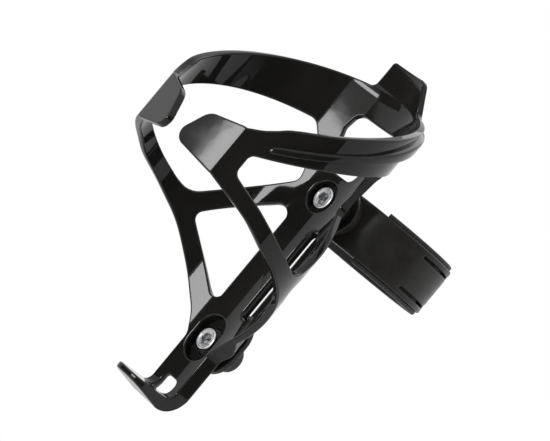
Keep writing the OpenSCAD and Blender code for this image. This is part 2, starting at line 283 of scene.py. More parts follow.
def left_normals(loop):
    """At each point of a loop, the unit direction to the left of the way round."""
    loop = np.array(loop)
    ahead = np.roll(loop, -1, axis=0) - loop
    ahead /= np.linalg.norm(ahead, axis=1)[:, None]
    along = ahead + np.roll(ahead, 1, axis=0)
    along /= np.linalg.norm(along, axis=1)[:, None]
    return np.stack([-along[:, 1], along[:, 0]], axis=1)


def area(loop):
    loop = np.array(loop)
    after = np.roll(loop, -1, axis=0)
    return float(np.sum(loop[:, 0] * after[:, 1] - after[:, 0] * loop[:, 1])) / 2


def holds(loop, points):
    """Which of the points lie inside the loop."""
    inside = np.zeros(len(points), bool)
    x, y = points[:, 0], points[:, 1]
    for a, b in zip(loop, loop[1:] + loop[:1]):
        if a[1] == b[1]:
            continue
        crosses = (a[1] > y) != (b[1] > y)
        inside ^= crosses & (x < (b[0] - a[0]) * (y - a[1]) / (b[1] - a[1]) + a[0])
    return inside


# Meshes


class Builder:
    """Collects the faces of one object, in millimetres."""

    def __init__(self, shift=(0.0, 0.0, 0.0)):
        self.shift = Vector(shift)
        self.points = []
        self.faces = []
        self.tints = []
        self.facings = {}

    def point(self, p):
        self.points.append((Vector(p) + self.shift) * MM)
        return len(self.points) - 1

    def face(self, corners, tint=0):
        if len(set(corners)) > 2:
            self.faces.append(corners)
            self.tints.append(tint)

    def rings(self, rings, closed=True, caps=(True, True), tint=0):
        """Skins a row of rings that all have the same number of points."""
        rows = [[self.point(p) for p in ring] for ring in rings]
        count = len(rows[0])
        for a, b in zip(rows, rows[1:]):
            for i in range(count if closed else count - 1):
                j = (i + 1) % count
                self.face([a[i], a[j], b[j], b[i]], tint)
        if caps[0]:
            self.face(rows[0][::-1], tint)
        if caps[1]:
            self.face(rows[-1], tint)

    def sheet(self, outer, holes, cuts, place, rim, front, back, tint=0):
        """A plate with rounded rims, drawn flat and put in space by place(u, v, depth).

        The cuts are lines along each flat direction at which the faces may bend.
        """
        loops = [outer if area(outer) > 0 else outer[::-1]]
        loops += [hole if area(hole) < 0 else hole[::-1] for hole in holes]
        insets = [np.array(loop) + rim * left_normals(loop) for loop in loops]
        flat, edges = [], []
        for loop in insets:
            first = len(flat)
            flat += [Vector(p) for p in loop]
            edges += [(first + i, first + (i + 1) % len(loop)) for i in range(len(loop))]
        low = np.min(np.concatenate(insets), axis=0) - 1
        high = np.max(np.concatenate(insets), axis=0) + 1
        for axis in (0, 1):
            for value in cuts[axis]:
                if low[axis] < value < high[axis]:
                    ends = [Vector(low), Vector(high)]
                    for end in ends:
                        end[axis] = value
                    edges.append((len(flat), len(flat) + 1))
                    flat += ends
        whole_cells, tolerance = 3, 1e-5
        spots, _, cells, _, _, _ = delaunay_2d_cdt(flat, edges, [], whole_cells, tolerance)
        spots = np.array([tuple(p) for p in spots])
        middles = np.array([inner_point(spots[list(cell)]) for cell in cells])
        keep = holds([tuple(p) for p in insets[0]], middles)
        for loop in insets[1:]:
            keep &= ~holds([tuple(p) for p in loop], middles)
        cells = [list(cell) for cell, inside in zip(cells, keep) if inside]
        cells = [cell if area(spots[cell]) > 0 else cell[::-1] for cell in cells]

        near, away = {}, {}
        for cell in cells:
            for i in cell:
                if i not in near:
                    u, v = spots[i]
                    near[i] = self.point(place(u, v, front(u, v)))
                    away[i] = self.point(place(u, v, back(u, v)))
                    self.facings[near[i]] = facing(place, front, u, v)
                    self.facings[away[i]] = facing(place, back, u, v)
            self.face([near[i] for i in cell], tint)
            self.face([away[i] for i in cell[::-1]], tint)
        for ring in rims(cells):
            self.rim(spots[ring], ring, near, away, place, rim, front, back, tint)

    def rim(self, loop, ring, near, away, place, rim, front, back, tint):
        """The rounded edge between the two faces of a sheet, along one loop."""
        normals = left_normals(loop)
        rows = [[near[i] for i in ring]]
        quarter = [math.pi / 2 * k / RIM_STEPS for k in range(1, RIM_STEPS + 1)]
        for side, turns in ((0, quarter), (1, quarter[::-1])):
            for turn in turns:
                row = []
                for (u, v), normal in zip(loop, normals):
                    sink = rim * (1 - math.cos(turn))
                    depth = back(u, v) - sink if side else front(u, v) + sink
                    edge = np.array((u, v)) - normal * rim * math.sin(turn)
                    row.append(self.point(place(edge[0], edge[1], depth)))
                rows.append(row)
        rows.append([away[i] for i in ring])
        count = len(ring)
        for a, b in zip(rows, rows[1:]):
            for i in range(count):
                j = (i + 1) % count
                self.face([a[j], a[i], b[i], b[j]], tint)

    def build(self, name, materials):
        mesh = bpy.data.meshes.new(name)
        mesh.from_pydata(self.points, [], self.faces)
        for material in materials:
            mesh.materials.append(material)
        mesh.polygons.foreach_set("material_index", self.tints)
        mesh.validate()
        bm = bmesh.new()
        bm.from_mesh(mesh)
        bm.verts.ensure_lookup_table()
        layer = bm.verts.layers.float_vector.new(FACING)
        for i, normal in self.facings.items():
            bm.verts[i][layer] = normal
        bmesh.ops.remove_doubles(bm, verts=bm.verts, dist=MERGE)
        bmesh.ops.recalc_face_normals(bm, faces=bm.faces)
        for face in bm.faces:
            face.smooth = True
        for edge in bm.edges:
            edge.smooth = edge.calc_face_angle(0.0) < SHARP
        bm.to_mesh(mesh)
        bm.free()
        thing = bpy.data.objects.new(name, mesh)
        bpy.context.scene.collection.objects.link(thing)
        settle_normals(thing)
        return thing


def facing(place, depth, u, v):
    """The way that a sheet's face looks at a point, or nothing where the face has a fold."""
    reach = 0.02
    here, right, left, upper, lower = (
        Vector(place(a, b, depth(a, b)))
        for a, b in ((u, v), (u + reach, v), (u - reach, v), (u, v + reach), (u, v - reach))
    )
    across, along = (right - here, here - left), (upper - here, here - lower)
    looks = [a.cross(b).normalized() for a in across for b in along]
    if min(looks[0].dot(look) for look in looks) < FOLD:
        return Vector((0, 0, 0))
    return sum(looks, Vector((0, 0, 0))).normalized()


def settle_normals(thing):
    """Sets even normals, and the true ones on a sheet's faces, so that reflections have clean edges."""
    mesh = thing.data
    weighted = thing.modifiers.new("even_normals", "WEIGHTED_NORMAL")
    weighted.keep_sharp = True
    bpy.context.view_layer.update()
    even = thing.evaluated_get(bpy.context.evaluated_depsgraph_get()).data
    normals = [Vector(corner.vector) for corner in even.corner_normals]
    looks = mesh.attributes[FACING].data
    for face in mesh.polygons:
        for corner in face.loop_indices:
            look = looks[mesh.loops[corner].vertex_index].vector
            lean = look.dot(face.normal)
            if abs(lean) > CLOSE:
                normals[corner] = look * math.copysign(1.0, lean)
    mesh.attributes.remove(mesh.attributes[FACING])
    thing.modifiers.clear()
    mesh.normals_split_custom_set(normals)


def inner_point(corners):
    """A point inside a flat cell, which may be hollow on one side."""
    middle = corners.mean(axis=0)
    if len(corners) < 5 or holds([tuple(p) for p in corners], middle[None])[0]:
        return middle
    count = len(corners)
    for i in range(count):
        trial = (corners[i - 1] + corners[i] + corners[(i + 1) % count]) / 3
        if holds([tuple(p) for p in corners], trial[None])[0]:
            return trial
    return middle


def rims(cells):
    """The loops of points around a set of cells, with the cells on the left."""
    sides = {}
    for cell in cells:
        for a, b in zip(cell, cell[1:] + cell[:1]):
            sides[(a, b)] = True
    following = {a: b for a, b in sides if (b, a) not in sides}
    loops = []
    while following:
        start, at = following.popitem()
        ring = [start]
        while at != start:
            ring.append(at)
            at = following.pop(at)
        loops.append(ring)
    return loops


def lathe_rings(profile, centre, axis, steps=56):
    """Rings around an axis through (distance along it, radius) points."""
    along = Vector(axis).normalized()
    side = along.orthogonal().normalized()
    other = along.cross(side)
    rings = []
    for height, radius in profile:
        ring = []
        for i in range(steps):
            t = 2 * math.pi * i / steps
            reach = (side * math.cos(t) + other * math.sin(t)) * radius
            ring.append(Vector(centre) + along * height + reach)
        rings.append(ring)
    return rings


def soft_profile(corners):
    """A profile with its corners rounded: each corner is (height, radius, rounding)."""
    path = []
    for i, (height, radius, rounding) in enumerate(corners):
        here = np.array((height, radius))
        if rounding == 0 or i in (0, len(corners) - 1):
            path.append(tuple(here))
            continue
        before = np.array(corners[i - 1][:2])
        after = np.array(corners[i + 1][:2])
        start = here + (before - here) / np.linalg.norm(before - here) * rounding
        end = here + (after - here) / np.linalg.norm(after - here) * rounding
        for k in range(5):
            t = k / 4
            path.append(tuple(start * (1 - t) ** 2 + here * 2 * t * (1 - t) + end * t**2))
    return path


# The cage


def arc(angle):
    """Distance from the spine along the inside of the wall, at an angle about the bottle's axis."""
    return WALL_IN * math.radians(angle)


def wall_y(angle):
    return WALL_IN - WALL_MID * math.cos(math.radians(angle))


def ring_low(angle):
    y = wall_y(angle)
    return RING_FOOT - UNDER_FALL * y - UNDER_BOW * y * y


def ring_line(angle):
    """The slope of the ring's upper edge, carried on past its level part at the back."""
    y = wall_y(angle)
    return RING_TOP + RING_RISE - RING_FALL * y - RING_BOW * y * y


def ring_high(angle):
    return min(RING_TOP, ring_line(angle))


CREASE_S = arc(CREASE)
CREASE_BEND = CREASE_R * math.radians(180 - TAB_TURN - CREASE)
FOOT_TIP = FOOT_BEND_Z - FOOT_FRONT_R * math.pi / 2 - (FOOT_REACH - FOOT_FRONT_R)


def plan(s):
    """The wall's inner face in plan at a distance from the spine, and the way out of the wall there."""
    side = -1 if s < 0 else 1
    s = abs(s)
    way = min(s, CREASE_S) / WALL_IN
    x, y = WALL_IN * math.sin(way), WALL_IN * (1 - math.cos(way))
    if s > CREASE_S:
        turn = way
        way = turn + min(s - CREASE_S, CREASE_BEND) / CREASE_R
        x += CREASE_R * (math.sin(way) - math.sin(turn))
        y += CREASE_R * (math.cos(turn) - math.cos(way))
        rest = max(0.0, s - CREASE_S - CREASE_BEND)
        x += math.cos(way) * rest
        y += math.sin(way) * rest
    return side * x, y, side * math.sin(way), -math.cos(way)


def catch_lean(z):
    """How far the catch tab has leant over the bottle at a height."""
    bend = 2.5
    over = z - RING_TOP
    if over <= -bend:
        return 0.0
    if over < bend:
        return CATCH_LEAN * (over + bend) ** 2 / (4 * bend)
    return CATCH_LEAN * over


def foot_bend(w):
    """How far round the foot's bend a point is, as an angle, and how far it is past the bend."""
    along = FOOT_BEND_Z - w
    swing = min(max(along / FOOT_FRONT_R, 0.0), math.pi / 2)
    return swing, max(0.0, along - FOOT_FRONT_R * math.pi / 2)


def on_cage(s, w, depth):
    """A point of the cage: s round the wall, w up it or back along the foot, depth out from the bottle."""
    x, y, nx, ny = plan(s)
    if w >= FOOT_BEND_Z:
        depth -= catch_lean(w)
        return x + nx * depth, y + ny * depth, w
    swing, past = foot_bend(w)
    flat = swing / (math.pi / 2)
    reach = FOOT_FRONT_R + depth * (flat - ny * (1 - flat))
    return (
        x + nx * depth * (1 - flat),
        y * (1 - flat) + FOOT_FRONT_R - reach * math.cos(swing) + past,
        FOOT_BEND_Z - reach * math.sin(swing),
    )


def cage_back(s, w):
    """The cage's thickness: a flat-backed spine, the wall, a hollow bend and a tapering foot."""
    _, y, _, ny = plan(s)
    below = 1 - smooth(WEB_TOP - HOLLOW_EDGE, WEB_TOP + HOLLOW_EDGE, w)
    inside = 1 - smooth(FLANGE_IN - HOLLOW_EDGE, FLANGE_IN + HOLLOW_EDGE, abs(s))
    hollow = below * inside
    if w < FOOT_BEND_Z:
        swing, past = foot_bend(w)
        taper = past / (FOOT_REACH - FOOT_FRONT_R)
        thick = FOOT_T + (FOOT_TIP_T - FOOT_T) * taper
        thick += (WEB_T - thick) * hollow * (1 - smooth(0.0, HOLLOW_END, past))
        flat = swing / (math.pi / 2)
        return (thick + y * (1 - flat)) / (flat - ny * (1 - flat))
    deep = SEAT_T + (SPINE_T - SEAT_T) * smooth(8.5, 12.0, w)
    deep += (WEB_T - deep) * hollow
    side = smooth(ROOT_HALF + 1, ROOT_HALF + 6, abs(s))
    level = smooth(BOLT_SPACING + 2, BOLT_SPACING + 9, w)
    wall = max(side, level)
    return (deep + y) / max(0.5, -ny) * (1 - wall) + WALL_T * wall


# Edges of the cage, as (angle about the bottle's axis, height)
ARM_LOWER = [(20, 3.9), (28, 8.8), (36, 13.6), (46, 18.9), (56, 23.8), (63, 26.5), (70, 28.6), (83, 32.1)]
ARM_LOWER += [(100, 35.6), (113, 38.9), (124, 40.9), (134, 42.4), (CREASE, CREASE_LOW)]
ARM_UPPER = [(128, 48.0), (120, 46.5), (113, 45.2), (101, 42.5), (92, 40.5), (84, 38.9)]
ARM_UPPER += [(78, 37.8), (73, 36.9)]
RING_STEP = [(127, 71.1), (128.5, 70.2), (130, 69.2), (132, 68.05), (134, 66.95), (136, 65.95)]
RING_STEP += [(138, 65.1), (140, 64.35), (141.7, 63.7)]


def cage_outline():
    """The cage's edge, unrolled, from the foot's tip up the right side and back down the left."""

    def tab(along, z):
        return CREASE_S + along, z

    root = (ROOT_HALF, -3.0)
    lower_tip = tab(TAB_L + 1.7, CREASE_LOW + 2.4)
    upper_tip = tab(TAB_L - 5, CREASE_HIGH - 2.7)
    peak = (arc(125), 72.1)
    catch_root = (13.6, ring_high(21))
    catch_corner = (10.4, CATCH_TOP)
    arm = [(arc(a), z) for a, z in ARM_LOWER]
    step_down = [(arc(a), z) for a, z in RING_STEP] + [tab(0, CREASE_HIGH + 0.7)]
    ring = [(arc(a), ring_high(a)) for a in range(121, 25, -5)]
    right = outline(
        [
            ([(0, FOOT_TIP), (ROOT_HALF, FOOT_TIP)], 5.5),
            ([(ROOT_HALF, FOOT_TIP), root], 5.0),
            ([root] + arm, 0),
            ([arm[-1], lower_tip], 4.0),
            ([lower_tip, upper_tip], 6.0),
            ([upper_tip, step_down[-1]], 0),
            (step_down[::-1] + [peak], 2.0),
            ([peak] + ring + [catch_root], 3.0),
            ([catch_root, catch_corner], 2.2),
            ([catch_corner, (0, CATCH_TOP)], 0),
        ]
    )
    return right + flipped(right)[:-1]


def large_window():
    """The window between the ring and the arm on the right."""
    nose_high = (arc(133.3), ring_low(133.3))
    nose_low = (arc(133.3), 49.2)
    elbow = (arc(62.5), 35.7)
    post_low = (arc(20), BOLT_SPACING - 0.3)
    post_high = (arc(27), BOLT_SPACING + 15)
    ring_start = (arc(35), ring_low(35))
    return outline(
        [
            ([ring_start] + [(arc(a), ring_low(a)) for a in range(40, 131, 6)] + [nose_high], 2.9),
            ([nose_high, nose_low], 2.9),
            ([nose_low] + [(arc(a), z) for a, z in ARM_UPPER] + [elbow], 8.0),
            ([elbow, post_low], 3.5),
            ([post_low, post_high], 4.0),
            ([post_high, ring_start], 4.0),
        ]
    )


def bead_span(angle):
    """The lowest and highest edge of the ring's bead, which widens to the back."""
    y = wall_y(angle)
    line = ring_line(angle)
    side_y = WALL_IN - 4
    high = line - 6.2 + 0.16 * max(0.0, side_y - y) - 0.04 * max(0.0, y - side_y)
    low = line - 9.3 - 0.02 * y
    return low, high


def add_bead(cage, side):
    """One half of the bead around the outside of the ring, blunt at the front and faded out at the back."""
    section = [(-0.8, -1.0), (0.3, -1.0), (0.62, -0.95), (0.9, -0.78), (1.0, -0.5), (1.0, 0.4)]
    section += [(0.92, 0.72), (0.66, 0.93), (0.3, 1.0), (-0.8, 1.0)]
    rings = []
    first, last, nose_span = 25.0, 128.0, 3.5
    for angle in spread(first, last - nose_span, 1.4) + spread(last - nose_span + 0.35, last, 0.35):
        low, high = bead_span(angle)
        nose = max(0.0, (angle - last + nose_span) / nose_span)
        full = max(0.05, math.sqrt(max(0.0, 1 - nose * nose)))
        proud = BEAD_T + BEAD_SHIFT * math.cos(math.radians(angle))
        proud *= full * max(0.05, smooth(first, first + 14, angle))
        half = (high - low) / 2 * full
        middle = (high + low) / 2
        ring = []
        for out, up in section:
            ring.append(on_cage(side * arc(angle), middle + up * half, WALL_T + out * proud))
        rings.append(ring)
    cage.rings(rings)


def add_rib(cage, side):
    """The straight rib behind one small window, from the arm's root to the strut's."""
    inner = SPINE_HALF + 0.85
    section = rounded([(inner, -2.9), (inner + 2.2, -4.8), (inner + 2.6, -3.0), (inner + 1.35, -1.6)], 0.3)
    ends = (5.0, BOLT_SPACING - 2.0)
    cage.rings([[(side * x, y, z) for x, y in section] for z in ends])
    for low in (ends[0], ends[1] - 4.5):
        block = [(inner + 0.2, -3.2), (inner + 2.2, -3.2), (inner + 2.2, -0.2), (inner + 0.2, -0.2)]
        cage.rings([[(side * x, y, z) for x, y in block] for z in (low, low + 4.5)])


def spread(start, stop, step):
    """Evenly spaced values from start to stop."""
    count = max(1, math.ceil((stop - start) / step))
    return [start + (stop - start) * i / count for i in range(count + 1)]


def make_cage(materials):
    cage = Builder((0, BACK_Y, -BOLT_SPACING))
    back_window = [(-6.6, 73.5), (6.6, 73.5), (12, 88.5), (11, 95.5), (-11, 95.5), (-12, 88.5)]
    window_low, window_tip = (SPINE_HALF, 10.0), (arc(53.5), 31.0)
    window_high = (SPINE_HALF, BOLT_SPACING - 6)
    strut = [(arc(a), z) for a, z in ((47, 35.9), (40, 40.8), (30, 47.2), (22, 51.8))]
    small_window = outline(
        [
            ([window_low, window_tip], 3.0),
            ([window_tip] + strut + [window_high], 4.0),
            ([window_high, window_low], 3.0),
        ]
    )
    bend_hole = [(-3.75, -25.4), (3.75, -25.4), (3.75, -17.8), (-3.75, -17.8)]
    holes = [small_window, flipped(small_window), large_window(), flipped(large_window())]
    holes += [rounded(back_window, 3.6), rounded(bend_hole, 2.0)]
    holes += [obround(0, 0, POCKET_R, POCKET_TRAVEL), circle(0, BOLT_SPACING, POCKET_R)]
    across = spread(-CREASE_S, CREASE_S, 1.5)
    for side in (-1, 1):
        across += [side * (CREASE_S + CREASE_BEND * k / 4) for k in range(1, 5)]
        across += [side * (CREASE_S + CREASE_BEND + along) for along in (6, 12)]
        across += [side * (FLANGE_IN + shift) for shift in (-0.3, -0.1, 0.1, 0.3)]
    bend_end = FOOT_BEND_Z - FOOT_FRONT_R * math.pi / 2
    up = spread(FOOT_TIP, bend_end, 4) + spread(bend_end, FOOT_BEND_Z, 0.7)
    up += spread(bend_end - HOLLOW_END, bend_end, 0.2)
    up += spread(WEB_TOP - HOLLOW_EDGE, WEB_TOP + HOLLOW_EDGE, 0.2)
    up += spread(FOOT_BEND_Z, 8, 3.5) + spread(8, 12.5, 0.9) + spread(12.5, 64, 7.5)
    up += spread(64, 74, 1.6) + spread(74, 102, 7) + spread(102, 110, 0.9) + [113.5]
    up = sorted(set(round(w, 4) for w in up))
    cage.sheet(cage_outline(), holes, (sorted(across), up), on_cage, CAGE_RIM, FLUSH, cage_back)
    for side in (-1, 1):
        add_bead(cage, side)
        add_rib(cage, side)
    add_seats(cage)
    return cage.build("cage", materials)


def add_seats(cage):
    """The floors under the two bolt heads: a slotted one below, a round boss above."""

    def on_floor(x, z, depth):
        return x, POCKET_FLOOR - depth, z

    floor_t = SEAT_T + POCKET_FLOOR - 0.05
    slot = obround(0, 0, BOLT_R + MOVE_GAP, POCKET_TRAVEL)
    edge = obround(0, 0, POCKET_R + 0.75, POCKET_TRAVEL)
    cage.sheet(edge, [slot], ([0.0], [0.0]), on_floor, SEAT_RIM, FLUSH, even_depth(floor_t))
    boss = soft_profile(
        [
            (POCKET_FLOOR, HOLE_R, 0),
            (POCKET_FLOOR, POCKET_R + 0.05, 0),
            (-1.2, POCKET_R + 0.05, 0),
            (-1.2, POCKET_R + 2.5, 0),
            (-SEAT_T, POCKET_R + 2.5, 0.6),
            (-SEAT_T, HOLE_R, 0),
            (POCKET_FLOOR, HOLE_R, 0),
        ]
    )
    cage.rings(lathe_rings(boss, (0, 0, BOLT_SPACING), (0, 1, 0)), caps=(False, False))


# The clamp


def around(angle, radius, z=0.0):
    """A point about the tube's axis, at an angle from +Y towards -X."""
    turn = math.radians(angle)
    return -radius * math.sin(turn), radius * math.cos(turn), z


def band_s(angle):
    """Distance along the inside of the clamp's band."""
    return JAW_IN * math.radians(angle)


def on_band(s, z, depth):
    return around(math.degrees(s / JAW_IN), JAW_IN + depth, z)


BAND_DEPTH = even_depth(JAW_OUT - JAW_IN)


def band_loop(corners):
    """A closed outline on the band from (angle, z, rounding of the corner) values."""
    points = [(band_s(angle), z) for angle, z, _ in corners]
    count = len(points)
    sides = []
    for i in range(count):
        after = (i + 1) % count
        sides.append(([points[i], points[after]], corners[after][2]))
    return outline(sides)


def both_edges(half):
    """The half outline along the lower edge, and its mirror image along the upper edge."""
    return half + [(angle, -z, rounding) for angle, z, rounding in half[::-1]]


def add_knuckle(clamp, low, high):
    """A hinge knuckle between two heights."""
    soft = 0.45
    profile = [(low, PIN_HOLE_R, 0), (low, KNUCKLE_R, soft), (high, KNUCKLE_R, soft)]
    profile = soft_profile(profile + [(high, PIN_HOLE_R, 0), (low, PIN_HOLE_R, 0)])
    clamp.rings(lathe_rings(profile, around(HINGE_ANGLE, HINGE_R), (0, 0, 1), 40), caps=(False, False))


def make_jaw(materials):
    jaw = Builder()
    start = HINGE_ANGLE + 1
    notch = HINGE_ANGLE + 6
    notch_half = GATE_KNUCKLE_HALF + MOVE_GAP
    slit_out = TONGUE_HALF + SLIT_W
    lower = [
        (notch, -notch_half, 0.6),
        (start, -notch_half, 1.0),
        (start, -BAND_HALF, 1.2),
        (FINGER_END, -BAND_HALF, 1.1),
        (FINGER_END, -slit_out, 1.1),
        (SLIT_START, -slit_out, 0.44),
        (SLIT_START, -TONGUE_HALF, 0.44),
        (TONGUE_END, -TONGUE_HALF, 1.4),
    ]
    cuts = (spread(band_s(start), band_s(FINGER_END), 1.3), [-4.5, 0.0, 4.5])
    jaw.sheet(band_loop(both_edges(lower)), [], cuts, on_band, BAND_RIM, FLUSH, BAND_DEPTH)
    boss = [(JAW_IN + 1.5, BOLT_R, 0), (JAW_IN + 1.5, BOSS_R, 0), (BOSS_Y, BOSS_R, 0.7)]
    boss = soft_profile(boss + [(BOSS_Y, BOLT_R, 0), (JAW_IN + 1.5, BOLT_R, 0)])
    jaw.rings(lathe_rings(boss, (0, 0, 0), (0, 1, 0)), caps=(False, False))
    for side in (-1, 1):
        ends = sorted((side * notch_half, side * (BAND_HALF - MOVE_GAP)))
        add_knuckle(jaw, *ends)
    return jaw.build("clamp_fixed_jaw", materials)


def make_gate(materials):
    gate = Builder()
    end = HINGE_ANGLE - 1
    notch = HINGE_ANGLE - 6
    lug_start = TONGUE_END + JOINT_GAP - 360
    shoulder = FINGER_END + JOINT_GAP - 360
    lug_half = TONGUE_HALF - MOVE_GAP
    lower = [
        (lug_start, -lug_half, 1.0),
        (shoulder, -lug_half, 0.5),
        (shoulder, -BAND_HALF, 1.2),
        (notch, -BAND_HALF, 1.2),
        (notch, -GATE_KNUCKLE_HALF, 0.6),
        (end, -GATE_KNUCKLE_HALF, 1.0),
    ]
    cuts = (spread(band_s(lug_start), band_s(end), 1.3), [-4.5, 0.0, 4.5])
    gate.sheet(band_loop(both_edges(lower)), [], cuts, on_band, BAND_RIM, FLUSH, BAND_DEPTH)
    add_knuckle(gate, -GATE_KNUCKLE_HALF, GATE_KNUCKLE_HALF)
    return gate.build("clamp_swing_gate", materials)


def make_liner(name, start, stop, lip_start, materials):
    """A rubber channel that lines the band, with a rounded lip past each of its edges from lip_start on."""
    liner = Builder()
    back = JAW_IN - 0.05
    edge = BAND_HALF + 0.05
    lipped = [(back, 0.5, 0), (back, edge, 0), (LIP_R, edge, 0.35), (LIP_R, LIP_END, 0.6)]
    lipped = soft_profile(lipped + [(TUBE_R, LIP_END, 0.6), (TUBE_R, 0.5, 0)])
    plain = [(min(r, back), min(z, BAND_HALF)) for r, z in lipped]
    rings = []
    for angle in spread(start, lip_start, 2.0) if lip_start > start else []:
        rings.append([around(angle, r, z) for r, z in plain + [(r, -z) for r, z in plain[::-1]]])
    for angle in spread(lip_start, stop, 2.0):
        rings.append([around(angle, r, z) for r, z in lipped + [(r, -z) for r, z in lipped[::-1]]])
    liner.rings(rings)
    return liner.build(name, materials)


# The bolts' stacks


def hex_radius(turn, flats):
    """Distance from the middle to the side of a hexagon, at an angle."""
    sector = math.pi / 3
    return flats / 2 / math.cos((turn % sector) - sector / 2)


def make_bolt(name, z, materials):
    bolt = Builder((0, BACK_Y, z))
    steps = 60
    soft = 0.7
    outside = soft_profile(
        [
            (BOLT_END, AXIS_R, 0),
            (BOLT_END, BOLT_R, 0.5),
            (HEAD_BACK, BOLT_R, 0),
            (HEAD_BACK, HEAD_R, 0.25),
            (HEAD_FRONT, HEAD_R, soft),
            (HEAD_FRONT, HEAD_R * 0.74, 0.08),
            (HEAD_FRONT - HEAD_DISH, HEAD_R * 0.7, 0.08),
            (HEAD_FRONT - HEAD_DISH / 2, SOCKET_AF * 0.66, 0),
        ]
    )
    rings = lathe_rings(outside, (0, 0, 0), (0, 1, 0), steps)
    bolt.rings(rings, caps=(True, False))
    socket = rings[-1:]
    along = Vector((0, 1, 0))
    side = along.orthogonal().normalized()
    other = along.cross(side)
    lip = HEAD_DISH / 2
    for depth, scale in ((lip, 1.06), (lip + 0.12, 1.0), (SOCKET_DEPTH, 0.99), (SOCKET_DEPTH + 0.45, 0.02)):
        ring = []
        for i in range(steps):
            t = 2 * math.pi * i / steps
            reach = (side * math.cos(t) + other * math.sin(t)) * hex_radius(t, SOCKET_AF) * scale
            ring.append(along * (HEAD_FRONT - depth) + reach)
        socket.append(ring)
    bolt.rings(socket[:3], caps=(False, False))
    # The socket's deeper walls and floor take the second, darker steel: painted shade in the recess.
    bolt.rings(socket[2:], caps=(False, True), tint=1)
    return bolt.build(name, materials)


def make_turned(name, corners, shift, materials):
    """A turned piece along Y, from (y, radius, rounding) corners."""
    piece = Builder(shift)
    piece.rings(lathe_rings(soft_profile(corners), (0, 0, 0), (0, 1, 0)), caps=(False, False))
    return piece.build(name, materials)


def make_upper_spacer(materials):
    low = -SEAT_T - SPACER_H
    corners = [(low, HOLE_R, 0), (low, SPACER_R, 0.3), (-SEAT_T, SPACER_R, 0.3)]
    corners += [(-SEAT_T, HOLE_R, 0), (low, HOLE_R, 0)]
    return make_turned("upper_round_spacer", corners, (0, BACK_Y, 0), materials)


def make_lower_spacer(materials):
    """A round spacer on the long plate that carries the rubber foot."""
    spacer = Builder((0, BACK_Y, -BOLT_SPACING))

    def on_plate(x, z, depth):
        return x, PLATE_BACK + PLATE_T - depth, z

    plate = obround(0, PLATE_REACH / 2, PLATE_R, PLATE_REACH / 2)
    bore, cuts = circle(0, 0, HOLE_R), ([0.0], [0.0])
    spacer.sheet(plate, [bore], cuts, on_plate, PLATE_RIM, FLUSH, even_depth(PLATE_T))
    low = PLATE_BACK + PLATE_T / 2
    neck = [(low, HOLE_R, 0), (low, SPACER_R, 0), (-SEAT_T, SPACER_R, 0.3)]
    neck += [(-SEAT_T, HOLE_R, 0), (low, HOLE_R, 0)]
    spacer.rings(lathe_rings(soft_profile(neck), (0, 0, 0), (0, 1, 0)), caps=(False, False))
    return spacer.build("lower_plate_spacer", materials)


def make_washer(name, z, materials):
    corners = [(POCKET_FLOOR, HOLE_R, 0), (POCKET_FLOOR, WASHER_R, 0.12), (HEAD_BACK, WASHER_R, 0.15)]
    corners += [(HEAD_BACK, HOLE_R, 0), (POCKET_FLOOR, HOLE_R, 0)]
    return make_turned(name, corners, (0, BACK_Y, z), materials)


def make_pad(materials):
    corners = [(TUBE_R, AXIS_R, 0), (TUBE_R, PAD_R - 0.6, 1.6), (TUBE_R + 3, PAD_R, 0.8)]
    front = BACK_Y + PLATE_BACK
    corners += [(front, PAD_R, 0.3), (front, AXIS_R, 0)]
    return make_turned("tube_rest_pad", corners, (0, 0, -BOLT_SPACING), materials)


# Materials


class Shader:
    """A node material under construction."""

    def __init__(self, name):
        self.material = bpy.data.materials.new(name)
        self.material.use_nodes = True
        self.nodes = self.material.node_tree.nodes
        self.links = self.material.node_tree.links
        self.surface = next(n for n in self.nodes if n.type == "BSDF_PRINCIPLED")
        self.place = self.nodes.new("ShaderNodeTexCoord").outputs["Object"]

    def set(self, **values):
        for name, value in values.items():
            self.surface.inputs[name.replace("_", " ")].default_value = value

    def noise(self, scale, detail=3.0, stretch=(1, 1, 1)):
        spread_out = self.nodes.new("ShaderNodeMapping")
        spread_out.inputs["Scale"].default_value = stretch
        self.links.new(self.place, spread_out.inputs["Vector"])
        noise = self.nodes.new("ShaderNodeTexNoise")
        noise.inputs["Scale"].default_value = scale
        noise.inputs["Detail"].default_value = detail
        self.links.new(spread_out.outputs["Vector"], noise.inputs["Vector"])
        return noise.outputs["Fac"]

    def ramp(self, source, low, high, start=0.3, stop=0.7):
        """Turns a grey value into one between two colours."""
        ramp = self.nodes.new("ShaderNodeValToRGB")
        ends = ramp.color_ramp.elements
        ends[0].position, ends[1].position = start, stop
        ends[0].color, ends[1].color = low, high
        self.links.new(source, ramp.inputs["Fac"])
        return ramp.outputs["Color"]

    def to(self, source, socket):
        self.links.new(source, self.surface.inputs[socket])

    def bump(self, layers):
        """Stacks (height, strength, distance in mm) layers of relief."""
        normal = None
        for height, strength, distance in layers:
            bump = self.nodes.new("ShaderNodeBump")
            bump.inputs["Strength"].default_value = strength
            bump.inputs["Distance"].default_value = distance * MM
            self.links.new(height, bump.inputs["Height"])
            if normal:
                self.links.new(normal, bump.inputs["Normal"])
            normal = bump.outputs["Normal"]
        self.to(normal, "Normal")


def grey(value, warm=0.0):
    return (value * (1 + warm), value, value * (1 - warm), 1.0)


def surface(name, colour, roughness, relief, stretch=(1, 1, 1), **settings):
    """A material whose colour and roughness drift between two greys, over a fine relief.

    Colour and roughness are (noise scale, detail, low, high). Relief is a list of (noise scale, detail,
    strength, distance in mm). The stretch is the colour's alone.
    """
    shader = Shader(name)
    shader.set(**settings)
    scale, detail, low, high = colour
    shader.to(shader.ramp(shader.noise(scale, detail, stretch), low, high), "Base Color")
    scale, detail, low, high = roughness
    shader.to(shader.ramp(shader.noise(scale, detail), low, high), "Roughness")
    shader.bump([(shader.noise(scale, detail), *height) for scale, detail, *height in relief])
    return shader.material


